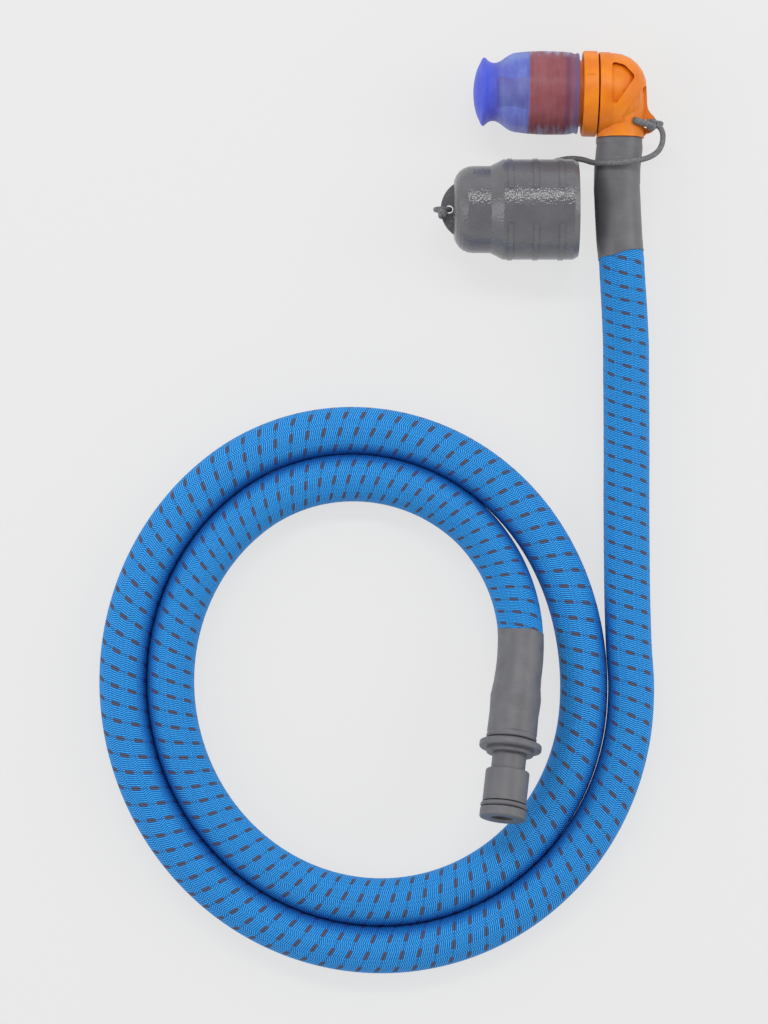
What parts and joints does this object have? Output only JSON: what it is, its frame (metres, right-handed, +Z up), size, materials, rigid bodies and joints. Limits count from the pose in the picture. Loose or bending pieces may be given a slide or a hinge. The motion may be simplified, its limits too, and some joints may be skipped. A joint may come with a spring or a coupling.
{
  "type": "hydration drinking tube",
  "caption": "Insulated drinking hose laid in a flat coil, with a twist-to-open bite valve on a swivel elbow, a tethered dust cap and a quick-connect plug",
  "frame": {"origin": "on the table, under the middle of the drinking head and its cap", "axes": "+X from the bite valve towards the elbow, +Y from the coil towards the drinking head, +Z up"},
  "size_m": [0.1631, 0.2659, 0.0317],
  "materials": {
    "woven_cover": "fine woven braid with darker tracer yarns",
    "tube_rubber": "smooth translucent",
    "shrink_sleeve": "satin shrink film",
    "grey_plastic": "satin moulded",
    "cap_plastic": "satin moulded",
    "orange_plastic": "smooth moulded",
    "bite_silicone": "translucent",
    "seal_rubber": "smooth",
    "clip_steel": "sprung steel",
    "tether_cord": "braided cord"
  },
  "bodies": {
    "hose": {"hose_cover_run": "woven_cover", "hose_cover_coil": "woven_cover", "inner_tube": "tube_rubber", "valve_sleeve": "shrink_sleeve", "plug_sleeve": "shrink_sleeve", "swivel_barb": "grey_plastic", "swivel_o_ring": "seal_rubber", "plug_body": "grey_plastic", "plug_o_ring": "seal_rubber"},
    "elbow": {"elbow": "orange_plastic", "swivel_clip": "clip_steel", "tip_seal": "seal_rubber", "tether": "tether_cord", "lug_knot": "tether_cord"},
    "core_seal": {"core_o_ring": "seal_rubber"},
    "valve_head": {"valve_core": "orange_plastic", "twist_ring": "orange_plastic", "bite_valve": "bite_silicone"},
    "dust_cap": {"dust_cap": "cap_plastic", "cap_knot": "tether_cord"}
  },
  "joints": [
    {"name": "elbow_swivel", "type": "hinge", "parent": "hose", "child": "elbow", "pos_m": [0.0203, 0.0178, 0.0123], "axis": [0, 1, 0], "continuous": true},
    {"name": "head_slide", "type": "slide", "parent": "elbow", "child": "core_seal", "axis": [-0.9998, 0.0192, 0], "range_m": [0, 0.004]},
    {"name": "head_twist", "type": "hinge", "parent": "core_seal", "child": "valve_head", "pos_m": [0.0203, 0.0178, 0.0123], "axis": [-0.9998, 0.0192, 0], "range_deg": [0, 90]},
    {"name": "cap_pull", "type": "slide", "parent": "elbow", "child": "dust_cap", "axis": [-1, 0, 0], "range_m": [0, 0.02], "deforming": ["tether"]}
  ],
  "couplings": [
    {"joint": "head_slide", "follows": "head_twist", "m_per_rad": 0.0025465}
  ]
}
